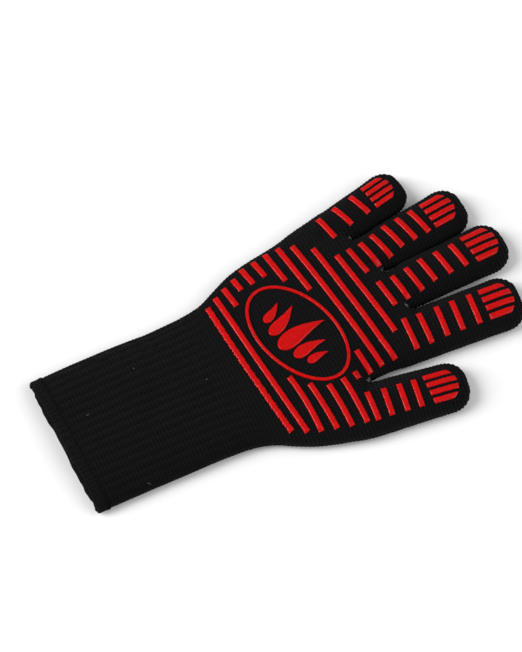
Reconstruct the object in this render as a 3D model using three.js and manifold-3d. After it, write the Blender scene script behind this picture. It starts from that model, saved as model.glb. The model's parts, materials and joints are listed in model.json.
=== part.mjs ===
// Heat resistant grilling glove, right hand, lying palm up on its back.
// Millimetres. +X runs from the cuff's mouth to the fingertips, +Y towards the little finger,
// +Z out of the palm. The origin is under the middle of the glove, on the surface it lies on.
//
// The glove is a knitted outer shell over a knitted liner, with a folded hem at the cuff's mouth
// and raised silicone grips on the palm side. Both knit layers are divided at the wrist and at
// two bends in each finger, where the empty glove folds.
import * as THREE from 'three';
import { mergeVertices } from 'three/addons/utils/BufferGeometryUtils.js';
import Module from 'manifold-3d';

const wasm = await Module();
wasm.setup();

// ---------------------------------------------------------------- driving dimensions

const ORIGIN = [175.53, -3.22]; // middle of the glove in plan, measured from the cuff's mouth

const SHELL_WALL = 1.8; // outer knit
const LINER_WALL = 1.3; // inner knit
const LAYER_GAP = 0.3; // clearance between layers that lie against each other
const TOLERANCE = 0.1; // points this near to the surface round them are left out of a piece
const BEND_GAP = 0.5; // clearance between two lengths of knit at a bend
const HEM_LENGTH = 8; // folded band at the cuff's mouth
const HEM_SWELL = 0.4; // the hem stands this much proud of the cuff
const WRIST_X = 131; // where the ribbed cuff meets the hand
const MOUTH_CUT = 5.4; // the hollow runs out this far past the cuff's mouth, which leaves it open
const WELD = 1e-4; // corners this near each other are one corner

const GRIP_RISE = 1.2; // silicone above the knit
const FILM_RISE = 0.4; // silicone between the ribs of a fingertip pad
const BAR_WIDTH = 4.1; // one silicone bar
const BAR_STEP = 18; // longest straight stretch of a curved bar
const GRIP_FLOOR = 9; // grips only reach down the sides of the glove to this height
const GRIP_CEILING = 30; // above everything on the palm side

const BODY_SIDES = 24; // facets round the hand and cuff
const FINGER_SIDES = 16; // facets round a finger
const MID_HEIGHT = 0.44; // widest point of a cross-section, as a share of its height
const CROWN_POWER = 2.5; // how square the palm side of a cross-section is
const BACK_POWER = 3; // how square the back of a cross-section is
const BACK_DROP = 1.15; // the back is pressed flat where it would reach lower than the surface

// Cross-sections of cuff and palm: distance from the mouth, thumb side, little finger side, height.
const HAND_SECTIONS = [
  [0, -56.5, 54.5, 14],
  [HEM_LENGTH, -56.6, 54.5, 14.2],
  [60, -57.5, 53.6, 15],
  [95, -58.3, 52, 15.5],
  [113, -59.5, 52, 15.8],
  [124, -61.5, 53, 16],
  [134, -65, 55, 16.3],
  [146, -72, 60, 17],
  [163, -80.5, 67, 17.6],
  [183, -87, 71.5, 18],
  [203, -91.6, 74, 18],
  [208.5, -73, 75, 18],
  [214.6, -51, 76.5, 18],
  [232, -50.6, 80, 17.5],
  [246, -51.8, 82.4, 17],
  [250, -52, 67, 16.8],
  [254, -52.4, 53.5, 16.6],
  [263, -53, 21.5, 16.2],
  [266, -53, -13, 16],
  [268, -52, -22, 14],
];

// Each finger in plan: where it leaves the hand and its tip, half widths at the root and before
// the tip, height, its bends as distance along it from the root and the fold's heading in degrees.
// Then the silicone on it: bars by distance along the finger, half length and heading, and the
// first and last point of the fingertip pad.
const FINGERS = {
  thumb: {
    root: [195, -69.3], tip: [276.5, -82], half: [21, 18.4], height: 16,
    bends: [18.6, 49.6], foldAngle: [-6, -6],
    bars: [23, 34.3, 45], barHalf: 11, barAngle: -6, pad: [53.2, 74.5],
  },
  index: {
    root: [235, -31.5], tip: [340.5, -39], half: [19.4, 20.3], height: 16,
    bends: [39.6, 74], foldAngle: [0, -1],
    bars: [45.5, 57, 69.3], barHalf: 12.4, barAngle: -4, pad: [76.9, 99.5],
  },
  middle: {
    root: [240, 3.2], tip: [350.5, 5.6], half: [16.6, 18.9], height: 16,
    bends: [44.8, 79.8], foldAngle: [2, 2],
    bars: [50.5, 62.4, 74.6], barHalf: 10.6, barAngle: 8, pad: [82.7, 105],
  },
  ring: {
    root: [240, 35.4], tip: [337.5, 44.2], half: [15.9, 18], height: 16,
    bends: [35.4, 67], foldAngle: [4, 5],
    bars: [40.8, 52, 63], barHalf: 11.6, barAngle: 12, pad: [69.8, 91],
  },
  little: {
    root: [232, 64.4], tip: [305.5, 78.3], half: [14.3, 16], height: 15.5,
    bends: [19.8, 45.4], foldAngle: [12, 10],
    bars: [25.4, 40], barHalf: 10.2, barAngle: 11.5, pad: [48.2, 67.8],
  },
};

const TIP_LENGTH = 15; // rounded end of a finger
const TIP_STEPS = 3; // sections in the rounded end
const TIP_END = 0.3; // cosine of the turn at which the rounded end is closed flat
const TIP_POWER = 0.75; // how blunt the rounded end is
const PAD_RIBS = 4; // ribs on a fingertip pad
const PAD_RIB_WIDTH = 4.2;
const PAD_FILL = 0.66; // pad width as a share of the finger's width
const PAD_END = 0.5; // width left at a pad's outer end, as a share of its width
const PAD_STATIONS = [0, 0.4, 0.6, 0.8, 1]; // shares of a pad's length where its outline has a corner
const PAD_STRAIGHT = 0.45; // share of a pad's length before it narrows

// Palm bars in plan, each through its outer end, its middle and its end on the thumb side.
const PALM_BARS = {
  palm_bar_01: [[138.5, 48.5], [140.5, -7], [146.5, -63.5]],
  palm_bar_02: [[147, 54], [150.5, -6], [156, -69]],
  palm_bar_03_outer: [[156, 58], [156.8, 49], [157.8, 40]],
  palm_bar_03_inner: [[164.3, -27], [167, -46.5], [166.5, -73.5]],
  palm_bar_04_outer: [[165, 61.5], [165.6, 56], [166.5, 50]],
  palm_bar_04_inner: [[175, -38], [176.6, -55.5], [177.3, -76.5]],
  palm_bar_05_outer: [[174, 66.5], [175, 58.5], [176.3, 50.5]],
  palm_bar_05_inner: [[186.5, -44.5], [187.6, -60], [187.5, -79.5]],
  palm_bar_06_outer: [[184, 67.8], [185, 60], [186.3, 52]],
  palm_bar_06_inner: [[197.5, -44.5], [198.6, -60], [198, -82]],
  palm_bar_07: [[194, 69.5], [195.5, 56], [197.5, 42]],
  palm_bar_08: [[204, 69.5], [206.5, 50], [209.8, 28]],
  palm_bar_09: [[213.8, 66], [220.5, 14], [227.8, -46]],
  palm_bar_10: [[226.5, 57], [232, 10], [237.8, -46]],
  palm_bar_11: [[237.5, 44], [242.8, 8], [247.2, -27]],
};

const OVAL = { centre: [185.5, 3], half: [45, 25.5], turn: 105, line: 2.4 }; // ring on the palm
const OVAL_POINTS = 24;

const KNIT_SHELL = { color: 0x151315, roughness: 0.95, metalness: 0 };
const KNIT_LINER = { color: 0x3a3836, roughness: 0.95, metalness: 0 };
const KNIT_HEM = { color: 0x1a181a, roughness: 0.95, metalness: 0 };
const SILICONE = { color: 0xe00d0a, roughness: 0.35, metalness: 0 };

// ---------------------------------------------------------------- geometry and solids

/** Turns a closed three.js geometry into a manifold solid. */
function toSolid(geometry) {
  const bare = geometry.clone();
  bare.deleteAttribute('normal');
  bare.deleteAttribute('uv');
  const merged = mergeVertices(bare, WELD);
  const mesh = new wasm.Mesh({
    numProp: 3,
    vertProperties: Float32Array.from(merged.attributes.position.array),
    triVerts: Uint32Array.from(merged.index.array),
  });
  return new wasm.Manifold(mesh);
}

/** Turns a manifold solid back into a three.js geometry. */
function toGeometry(solid) {
  const mesh = solid.getMesh();
  const geometry = new THREE.BufferGeometry();
  geometry.setAttribute('position', new THREE.BufferAttribute(mesh.vertProperties, 3));
  geometry.setIndex(new THREE.BufferAttribute(mesh.triVerts, 1));
  geometry.computeVertexNormals();
  return geometry;
}

/** Joins rings of points, all with the same count, into one closed solid with flat ends. */
function skinRings(rings) {
  const count = rings[0].length;
  const indices = [];
  for (let ring = 0; ring < rings.length - 1; ring += 1) {
    for (let side = 0; side < count; side += 1) {
      const next = (side + 1) % count;
      const [a, b] = [ring * count + side, ring * count + next];
      indices.push(a, b, b + count, a, b + count, a + count);
    }
  }
  const last = (rings.length - 1) * count;
  for (let side = 1; side < count - 1; side += 1) {
    indices.push(0, side + 1, side, last, last + side, last + side + 1);
  }
  const geometry = new THREE.BufferGeometry().setFromPoints(rings.flat());
  geometry.setIndex(indices);
  return toSolid(geometry);
}

/** One point of a cross-section: across and up. A negative grow gives the hollow inside. */
function sectionPoint(angle, half, height, grow) {
  const [c, s] = [Math.cos(angle), Math.sin(angle)];
  const power = 2 / (s > 0 ? CROWN_POWER : BACK_POWER);
  const middle = height * MID_HEIGHT;
  const reach = s > 0 ? height - middle + grow : (middle + grow) * BACK_DROP;
  const across = Math.sign(c) * Math.abs(c) ** power * (half + grow);
  const up = middle + Math.sign(s) * Math.abs(s) ** power * reach;
  return [across, Math.max(up, 0, -grow)];
}

/** Angles round a cross-section, with one side of it facing straight down. */
function sectionAngles(sides) {
  return Array.from({ length: sides }, (_, side) => ((side + 0.5) * 2 * Math.PI) / sides - Math.PI / 2);
}

/** Cuff and palm in one length, larger or smaller all round by grow. */
function handSolid(grow) {
  const rings = HAND_SECTIONS.map(([x, low, high, height]) => {
    const [centre, half] = [(low + high) / 2, (high - low) / 2];
    return sectionAngles(BODY_SIDES).map((angle) => {
      const [across, up] = sectionPoint(angle, half, height, grow);
      return new THREE.Vector3(x + grow, centre + across, up);
    });
  });
  return skinRings(rings);
}

/** Direction along a finger and its length. */
function fingerAxis(finger) {
  const [dx, dy] = [finger.tip[0] - finger.root[0], finger.tip[1] - finger.root[1]];
  const length = Math.hypot(dx, dy);
  return { length, along: [dx / length, dy / length] };
}

/** Point in plan, at a distance along a finger and a distance to its left. */
function fingerPoint(finger, distance, left = 0) {
  const { along } = fingerAxis(finger);
  return [
    finger.root[0] + along[0] * distance - along[1] * left,
    finger.root[1] + along[1] * distance + along[0] * left,
  ];
}

/** Half width of a finger at a distance along it, before its rounded end. */
function fingerHalf(finger, distance) {
  const straight = fingerAxis(finger).length - TIP_LENGTH;
  const share = Math.min(distance / straight, 1);
  return finger.half[0] + (finger.half[1] - finger.half[0]) * share;
}

/** Distances along a finger and the share of its section that each one has. */
function fingerStations(finger, grow) {
  const straight = fingerAxis(finger).length - TIP_LENGTH;
  const stations = [[-grow, 1], [straight, 1]];
  for (let step = 1; step <= TIP_STEPS; step += 1) {
    const turn = (step / TIP_STEPS) * Math.acos(TIP_END);
    const reach = (TIP_LENGTH + grow) * (Math.sin(turn) / Math.sin(Math.acos(TIP_END)));
    stations.push([straight + reach, Math.cos(turn) ** TIP_POWER]);
  }
  return stations;
}

/** A finger from inside the hand to its rounded tip, larger or smaller all round by grow. */
function fingerSolid(finger, grow) {
  const rings = fingerStations(finger, grow).map(([distance, share]) => {
    const middle = finger.height * MID_HEIGHT;
    return sectionAngles(FINGER_SIDES).map((angle) => {
      const [across, up] = sectionPoint(angle, fingerHalf(finger, distance), finger.height, grow);
      const [x, y] = fingerPoint(finger, distance, across * share);
      return new THREE.Vector3(x, y, middle + (up - middle) * share);
    });
  });
  return skinRings(rings);
}

// ---------------------------------------------------------------- cutting at the bends

/** Normal of the upright plane through a finger's bend, pointing to the tip. */
function foldNormal(finger, bend) {
  const angle = THREE.MathUtils.degToRad(finger.foldAngle[bend]);
  return [Math.cos(angle), Math.sin(angle), 0];
}

function foldOffset(finger, bend) {
  const normal = foldNormal(finger, bend);
  const [x, y] = fingerPoint(finger, finger.bends[bend]);
  return normal[0] * x + normal[1] * y;
}

/** What lies past a finger's bend. */
function pastBend(solid, finger, bend) {
  return solid.trimByPlane(foldNormal(finger, bend), foldOffset(finger, bend) + BEND_GAP / 2);
}

/** What lies before a finger's bend. */
function beforeBend(solid, finger, bend) {
  const reversed = foldNormal(finger, bend).map((value) => -value);
  return solid.trimByPlane(reversed, -foldOffset(finger, bend) + BEND_GAP / 2);
}

/** The whole glove as separate lengths: cuff, palm, and two for each finger. */
function divideGlove(grow) {
  const hand = handSolid(grow);
  const lengths = {
    cuff: hand
      .trimByPlane([1, 0, 0], HEM_LENGTH + LAYER_GAP)
      .trimByPlane([-1, 0, 0], -(WRIST_X - BEND_GAP / 2)),
    palm: hand.trimByPlane([1, 0, 0], WRIST_X + BEND_GAP / 2),
  };
  for (const [name, finger] of Object.entries(FINGERS)) {
    const whole = fingerSolid(finger, grow);
    lengths.palm = lengths.palm.add(beforeBend(whole, finger, 0));
    lengths[`${name}_base`] = beforeBend(pastBend(whole, finger, 0), finger, 1);
    lengths[`${name}_tip`] = pastBend(whole, finger, 1);
  }
  return lengths;
}

/** Cuts the hollow, which runs through the bends, out of each length. */
function hollowOut(lengths, hollow) {
  return Object.fromEntries(
    Object.entries(lengths).map(([name, solid]) => [name, solid.subtract(hollow)]),
  );
}

/** The inside of the whole glove as one solid, open at the cuff. */
function gloveHollow(grow) {
  let hollow = handSolid(grow);
  const [x, low, high, height] = HAND_SECTIONS[0];
  const mouth = new THREE.BoxGeometry(2 * MOUTH_CUT, high - low, height);
  mouth.translate(x, (high + low) / 2, height / 2);
  hollow = hollow.add(toSolid(mouth).intersect(shiftAlong(handSolid(grow), -MOUTH_CUT)));
  for (const finger of Object.values(FINGERS)) {
    hollow = hollow.add(fingerSolid(finger, grow));
  }
  return hollow;
}

function shiftAlong(solid, distance) {
  return solid.translate([distance, 0, 0]);
}

// ---------------------------------------------------------------- silicone grips

/** Outline in plan of a bar along a smooth line, as a closed shape with square ends. */
function barShape(points, width) {
  const line = new THREE.CatmullRomCurve3(points.map(([x, y]) => new THREE.Vector3(x, y, 0)));
  const steps = Math.max(2, Math.ceil(line.getLength() / BAR_STEP));
  const [left, right] = [[], []];
  for (let step = 0; step <= steps; step += 1) {
    const at = line.getPointAt(step / steps);
    const tangent = line.getTangentAt(step / steps);
    const across = new THREE.Vector2(-tangent.y, tangent.x).multiplyScalar(width / 2);
    left.push(new THREE.Vector2(at.x + across.x, at.y + across.y));
    right.unshift(new THREE.Vector2(at.x - across.x, at.y - across.y));
  }
  return new THREE.Shape([...left, ...right]);
}

/** Upright prism over an outline, through everything on the palm side. */
function prism(shape) {
  const geometry = new THREE.ExtrudeGeometry(shape, {
    depth: GRIP_CEILING - GRIP_FLOOR,
    bevelEnabled: false,
  });
  geometry.translate(0, 0, GRIP_FLOOR);
  return toSolid(geometry);
}

/** Silicone of a given rise over the knit, inside an outline. */
function printOn(skins, shape, rise) {
  return prism(shape).intersect(skins.outer[rise]).subtract(skins.inner);
}

/** The knit's outside grown by the layer gap, and by each rise above that. */
function gripSkins(makeSolid) {
  return {
    inner: makeSolid(LAYER_GAP),
    outer: {
      [GRIP_RISE]: makeSolid(LAYER_GAP + GRIP_RISE),
      [FILM_RISE]: makeSolid(LAYER_GAP + FILM_RISE),
    },
  };
}

/** Palm and finger roots together, larger all round by grow. */
function palmSolid(grow) {
  return Object.values(FINGERS).reduce(
    (palm, finger) => palm.add(fingerSolid(finger, grow)),
    handSolid(grow),
  );
}

/** Oval ring on the palm, as a closed band in plan. */
function ovalShape() {
  const turn = THREE.MathUtils.degToRad(OVAL.turn);
  const ring = (inset) =>
    new THREE.EllipseCurve(
      ...OVAL.centre, OVAL.half[0] - inset, OVAL.half[1] - inset, 0, 2 * Math.PI, false, turn,
    ).getPoints(OVAL_POINTS).slice(0, -1);
  const shape = new THREE.Shape(ring(0));
  shape.holes.push(new THREE.Path(ring(OVAL.line)));
  return shape;
}

/** Outline of a finger's cross bar at a distance along the finger. */
function fingerBarShape(finger, distance) {
  const angle = THREE.MathUtils.degToRad(finger.barAngle);
  const [x, y] = fingerPoint(finger, distance);
  const [dx, dy] = [-Math.sin(angle) * finger.barHalf, Math.cos(angle) * finger.barHalf];
  const end = (side) => [x + side * dx, y + side * dy];
  return barShape([end(1), [x, y], end(-1)], BAR_WIDTH);
}

/** Half width of a fingertip pad, narrowing round its outer end. */
function padHalf(finger, distance) {
  const [start, end] = finger.pad;
  const widest = fingerHalf(finger, start) * PAD_FILL;
  const share = (distance - start) / (end - start);
  const round = Math.max(0, share - PAD_STRAIGHT) / (1 - PAD_STRAIGHT);
  return widest * Math.sqrt(1 - (1 - PAD_END ** 2) * round ** 2);
}

/** Fingertip pad: four ribs along the finger on a thin film, rounded at the outer end. */
function padSolid(finger, skins) {
  const [start, end] = finger.pad;
  const samples = PAD_STATIONS.map((share) => start + (end - start) * share);
  const corner = (distance, side) =>
    new THREE.Vector2(...fingerPoint(finger, distance, side * padHalf(finger, distance)));
  const outline = new THREE.Shape([
    ...samples.map((distance) => corner(distance, -1)),
    ...samples.reverse().map((distance) => corner(distance, 1)),
  ]);
  const film = printOn(skins, outline, FILM_RISE);
  const whole = printOn(skins, outline, GRIP_RISE);
  const pitch = (2 * padHalf(finger, start) - PAD_RIB_WIDTH) / (PAD_RIBS - 1);
  let pad = film;
  for (let rib = 0; rib < PAD_RIBS; rib += 1) {
    const left = (rib - (PAD_RIBS - 1) / 2) * pitch;
    const line = [start, (start + end) / 2, end].map((distance) => fingerPoint(finger, distance, left));
    pad = pad.add(whole.intersect(prism(barShape(line, PAD_RIB_WIDTH))));
  }
  return pad;
}

// ---------------------------------------------------------------- assembly

const glove = new THREE.Group();
glove.position.set(-ORIGIN[0], -ORIGIN[1], 0);

function addPiece(name, solid, finish) {
  const geometry = toGeometry(solid.simplify(TOLERANCE));
  const mesh = new THREE.Mesh(geometry, new THREE.MeshStandardMaterial(finish));
  mesh.name = name;
  glove.add(mesh);
}

function addKnitLayers() {
  const linerOutside = -(SHELL_WALL + LAYER_GAP);
  const linerInside = linerOutside - LINER_WALL;
  const shell = hollowOut(divideGlove(0), gloveHollow(-SHELL_WALL));
  const liner = hollowOut(divideGlove(linerOutside), gloveHollow(linerInside));
  for (const [name, solid] of Object.entries(shell)) {
    addPiece(`${name}_shell`, solid, KNIT_SHELL);
  }
  for (const [name, solid] of Object.entries(liner)) {
    addPiece(`${name}_liner`, solid, KNIT_LINER);
  }
  const band = handSolid(HEM_SWELL).trimByPlane([-1, 0, 0], -HEM_LENGTH);
  addPiece('cuff_hem', band.subtract(gloveHollow(linerInside)), KNIT_HEM);
}

function addGrips() {
  const palm = gripSkins(palmSolid);
  for (const [name, points] of Object.entries(PALM_BARS)) {
    addPiece(name, printOn(palm, barShape(points, BAR_WIDTH), GRIP_RISE), SILICONE);
  }
  addPiece('palm_oval_ring', printOn(palm, ovalShape(), GRIP_RISE), SILICONE);
  for (const [name, finger] of Object.entries(FINGERS)) {
    const skins = gripSkins((grow) => fingerSolid(finger, grow));
    finger.bars.forEach((distance, index) => {
      const bar = printOn(skins, fingerBarShape(finger, distance), GRIP_RISE);
      addPiece(`${name}_bar_${index + 1}`, bar, SILICONE);
    });
    addPiece(`${name}_tip_pad`, padSolid(finger, skins), SILICONE);
  }
}

addKnitLayers();
addGrips();

export default glove;
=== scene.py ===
import json
import math

import bpy
import numpy as np
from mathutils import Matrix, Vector
from mathutils.bvhtree import BVHTree

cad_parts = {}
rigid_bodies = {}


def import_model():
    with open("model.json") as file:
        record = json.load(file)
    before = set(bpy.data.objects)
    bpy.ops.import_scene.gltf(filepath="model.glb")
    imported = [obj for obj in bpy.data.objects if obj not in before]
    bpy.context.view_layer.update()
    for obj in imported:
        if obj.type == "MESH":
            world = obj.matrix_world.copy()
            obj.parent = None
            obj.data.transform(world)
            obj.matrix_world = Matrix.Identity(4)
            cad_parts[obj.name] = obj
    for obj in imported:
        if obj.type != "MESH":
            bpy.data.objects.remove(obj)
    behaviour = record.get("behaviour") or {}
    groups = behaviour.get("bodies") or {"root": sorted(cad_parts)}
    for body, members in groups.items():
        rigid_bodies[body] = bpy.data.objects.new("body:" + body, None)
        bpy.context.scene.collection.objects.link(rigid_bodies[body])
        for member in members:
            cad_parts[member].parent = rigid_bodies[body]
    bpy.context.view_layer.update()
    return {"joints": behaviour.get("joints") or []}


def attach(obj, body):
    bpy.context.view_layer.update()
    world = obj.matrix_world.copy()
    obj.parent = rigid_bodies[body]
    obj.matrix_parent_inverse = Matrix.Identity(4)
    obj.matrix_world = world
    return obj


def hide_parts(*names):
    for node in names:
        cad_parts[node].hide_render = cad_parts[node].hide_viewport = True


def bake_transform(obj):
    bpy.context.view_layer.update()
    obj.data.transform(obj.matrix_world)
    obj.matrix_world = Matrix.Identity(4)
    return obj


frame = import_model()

# Heat resistant grilling glove, right hand, palm up. Blender works in metres; the glove is laid
# out here in millimetres from the middle of the cuff's mouth, as in the CAD, and placed at the end.

MM = 0.001
ORIGIN = np.array([175.53, -3.22, 0.0])  # row frame's origin in the glove's own plan

# ---------- the glove, in mm

MID_HEIGHT = 0.44  # widest point of a cross-section, as a share of its height
CROWN_POWER = 2.5
BACK_POWER = 3.0
BACK_DROP = 1.15

# Cross-sections of cuff and palm: distance from the mouth, thumb side, little finger side, height.
HAND_SECTIONS = [
    (0, -56.5, 54.5, 14), (8, -56.6, 54.5, 14.2), (60, -57.5, 53.6, 15), (95, -58.3, 52, 15.5),
    (113, -59.5, 52, 15.8), (124, -61.5, 53, 16), (134, -65, 55, 16.3), (146, -72, 60, 17),
    (163, -80.5, 67, 17.6), (183, -87, 71.5, 18), (203, -91.6, 74, 18), (208.5, -73, 75, 18),
    (214.6, -51, 76.5, 18), (232, -50.6, 80, 17.5), (246, -51.8, 82.4, 17), (250, -52, 67, 16.8),
    (254, -52.4, 53.5, 16.6), (263, -53, 21.5, 16.2), (266, -53, -13, 16), (268, -52, -22, 14),
]

# Each finger: root and tip in plan, half widths at root and tip, and height. Then its right and left
# side: how far further in each is joined to stay clear of a neighbour, and the share of that it gets
# back. Then the distance past which it is free of its neighbours and how far its bends reach to
# either side. Then its print: places, half length and turn of the bars, ends and turn of the pad,
# and how far left of the middle they are.
FINGERS = {
    "thumb": dict(root=(195, -69.3), tip=(276.5, -82), half=(21, 18.4), height=16,
                  slim=(0, 1), widen=(0, 0.8), free=22, lower=(-2, 15), upper=(9, 10),
                  bars=(24, 35.5, 46), bar_half=10.8, bar_angle=0, pad=(54, 76), pad_angle=6,
                  print_left=-1.2),
    "index": dict(root=(235, -31.5), tip=(340.5, -39), half=(19.4, 20.3), height=16,
                  slim=(0, 1), widen=(0, 0.1), free=33, lower=(6, 13), upper=(9, 10),
                  bars=(46.5, 58.3, 71.3), bar_half=12.2, bar_angle=-2, pad=(79, 101.2), pad_angle=0,
                  print_left=0),
    "middle": dict(root=(240, 3.2), tip=(350.5, 5.6), half=(16.6, 18.9), height=16,
                   slim=(1, 1.8), widen=(0.4, 0.89), free=29, lower=(11, 12), upper=(9, 10),
                   bars=(50.5, 63.2, 75.6), bar_half=10.4, bar_angle=8, pad=(84, 106.3), pad_angle=7,
                   print_left=1.6),
    "ring": dict(root=(240, 35.4), tip=(337.5, 44.2), half=(15.9, 18), height=16,
                 slim=(1.8, 1.2), widen=(0.89, 0.92), free=27, lower=(7, 12), upper=(9, 10),
                 bars=(40.8, 52, 63), bar_half=11.2, bar_angle=9, pad=(70.3, 91.5), pad_angle=3,
                 print_left=1.7),
    "little": dict(root=(232, 64.4), tip=(305.5, 78.3), half=(14.3, 16), height=15.5,
                   slim=(1.2, 0), widen=(0.92, 0), free=24, lower=(-2, 12), upper=(8, 9),
                   bars=(24.6, 39.8), bar_half=9.6, bar_angle=9, pad=(48.2, 67.8), pad_angle=0,
                   print_left=2.0),
}
TIP_LENGTH = 15.0
TIP_END = 0.3  # cosine of the turn at a fingertip's last ring
TIP_POWER = 0.75  # lower numbers make a fingertip blunter
TIP_STEPS = 8
FINGER_STATIONS = 24
FINGER_SIDES = 48
HAND_STEP = 2.0
HAND_SIDES = 96

VOXEL = 1.35  # mesh size of the knit before it is subdivided once
SLIM_REACH = 12.0  # a finger's slimming comes in over this much of its root
ROOT_SHARE = 0.93  # a finger's root is this much narrower, so its corners are inside the hand
ROOT_REACH = 14.0
WIDEN_REACH = 10.0
SMOOTHING = 7
RELAX_PULL, RELAX_PUSH = 0.5, 0.46
SWELL = 0.28
SWELL_FROM, SWELL_FULL = 3.0, 9.0  # heights between which the swelling comes in
FINGER_NEAR = 1.12  # points belong to a finger up to this far off its middle, in half widths

COURSE = 2.7  # one row of stitches
COLUMNS = 50  # columns of stitches across the hand
WIDEST_X = 183
KNIT_HEIGHT = 16.0  # the hand's stitches are laid out for this height
SIDE_START = 10.0  # stitches follow a side's height from this far off the middle
SIDE_SHARE = 0.8
KNIT_TURN = 8.0  # the hand's rows turn into a finger's this far to either side of where it is free
STITCH_DEPTH = 0.5
STITCH_SLANT = 0.65  # share of a stitch's relief that comes from the slant of its legs
RIB_COLUMNS = 3  # columns in one rib of the cuff
RIB_DEPTH = 0.65
RIB_MIDDLE = 0.6  # share of a rib's relief that is level with the smooth surface
RIB_END, PLAIN_START = 112, 138  # the ribs fade out between these distances from the mouth

KNIT_START = 5.5  # the knit and the liner begin this far inside the mouth, under the hem
LINER_START = 5.0
LINER_VOXEL = 2.4
LINER_DEPTH = 2.4

CUT_MARGIN = 1.5  # a piece starts this far before the knit in it begins to bend
WRIST_BEND = (3.0, 17.0)  # how far the wrist's bend reaches into the hand and into the cuff

# Hem from its outer edge round the mouth and inside: distance from the mouth, and how far out.
HEM_PROFILE = [
    (9.4, -0.6), (9.2, 0.1), (8.7, 0.5), (8.0, 0.65), (7.0, 0.65), (5.5, 0.55), (4.0, 0.6), (2.5, 0.7),
    (1.4, 0.6), (0.7, 0.2), (0.4, -0.4), (0.6, -1.0), (1.3, -1.7), (2.5, -2.1), (5.0, -2.5),
    (9.0, -2.9), (12.0, -3.1), (12.4, -2.4),
]
HEM_LENGTH = 8.0
HEM_FADE = 5.0  # the ribs come in over this length past the hem
HEM_SIDES = 360
HEM_WAVES = [(0.35, 7, 1.0), (0.3, 13, 0.0), (0.18, 31, 2.0)]  # height, count and phase
HEM_WAVE_FULL, HEM_WAVE_END = 4, 9  # the waves fade out between these distances from the mouth
HEM_ROWS = (240 / 2.7, 0.4)  # stitches round the hem, and for each line of its profile
HEM_RELIEF = 0.1
HEM_RELIEF_FROM = 2.0  # the relief leaves out what lies on the ground
HEM_STITCHES = 88
HEM_STITCH_REACH = (1.5, 1.3)  # how far a stitch reaches to either side of the hem's outer edge
HEM_THREAD = 0.17
HEM_STITCH_LOW = 0.25  # stitches stay this far off the ground
HEM_ARCH = (0.2, 1.4, 0.45)  # a stitch's height, how fast it dips either way, and where its top is
OUT_SIDEWAYS, OUT_UP_FROM = 0.1, 5.0  # a stitch faces out by its place across, and up past this height

BAR_WIDTH = 4.1
OVAL_WIDTH = 2.4
PRINT_RISE = 1.0
ABOVE_ALL = 60.0  # a height above the whole glove
PRINT_ON_STITCH = 0.14  # how much of the stitches shows through the print
PRINT_STEP = 0.7
END_ROUND = 0.5
# Unevenness of edges: most strokes, the palm's bars and the pads, the palm's first bar, the oval.
PLAIN_WAVE, PALM_WAVE, FIRST_BAR_WAVE, OVAL_WAVE = 0.1, 0.12, 0.45, 0.08
# A stroke's section, as share of its half width and of its rise, over the top and back below.
PRINT_PROFILE = [
    (-1.0, -0.4), (-1.0, 0.35), (-0.93, 0.66), (-0.81, 0.88), (-0.62, 0.98), (-0.2, 1.0), (0.2, 1.0),
    (0.62, 0.98), (0.81, 0.88), (0.93, 0.66), (1.0, 0.35), (1.0, -0.4),
]
PALM_BARS = {
    "01": [(137.8, 49.2), (141, -7), (148, -64)],
    "02": [(146, 54), (150.6, -6), (157.6, -69.5)],
    "03_outer": [(154.6, 58), (155.4, 49), (156.4, 40)],
    "03_inner": [(164.3, -27), (166.6, -46.5), (166.8, -73.5)],
    "04_outer": [(163.6, 61.5), (164.2, 56), (165.1, 50)],
    "04_inner": [(175, -38), (176.6, -55.5), (177.6, -76.5)],
    "05_outer": [(172.6, 66.5), (173.6, 58.5), (174.9, 50.5)],
    "05_inner": [(186.7, -44.5), (187.8, -60), (188, -79.5)],
    "06_outer": [(182.6, 67.8), (183.6, 60), (184.9, 52)],
    "06_inner": [(197.7, -44.5), (198.8, -60), (198.6, -82)],
    "07": [(193, 69.5), (194.2, 56), (196.2, 42)],
    "08": [(203, 69.5), (205.2, 50), (208.4, 27.5)],
    "09": [(212.8, 65.4), (220.2, 14), (228.4, -46.4)],
    "10": [(225, 56.6), (231.4, 10), (238.6, -46.6)],
    "11": [(237.4, 44), (243, 8), (248, -27.6)],
}
# Short bars on the hand that the CAD leaves to the print: at the roots of the fingers, and two stubs.
SMALL_BARS = {
    "little_1": [(239, 77), (243.5, 57.5)],
    "ring_1": [(247, 45), (251.5, 22.5)],
    "ring_2": [(257, 46), (262, 24)],
    "ring_3": [(267, 48.5), (272.5, 26.5)],
    "middle_1": [(254.5, 12.5), (257.5, -9.5)],
    "middle_2": [(265.5, 12.5), (268.5, -8.5)],
    "middle_3": [(277, 14), (280.5, -7)],
    "index_1": [(257.5, -21.5), (256, -46.5)],
    "index_2": [(269, -22), (267.5, -47)],
    "thumb_1": [(208.5, -61), (206.5, -84)],
    "stub_07": [(207.5, -43.5), (208.5, -49.5)],
    "stub_08": [(216.5, -29), (218.5, -48)],
}
OVAL_CENTRE, OVAL_HALF, OVAL_TURN = (185.3, 1.0), (44, 25.9), 108
OVAL_POINTS = 300
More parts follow.
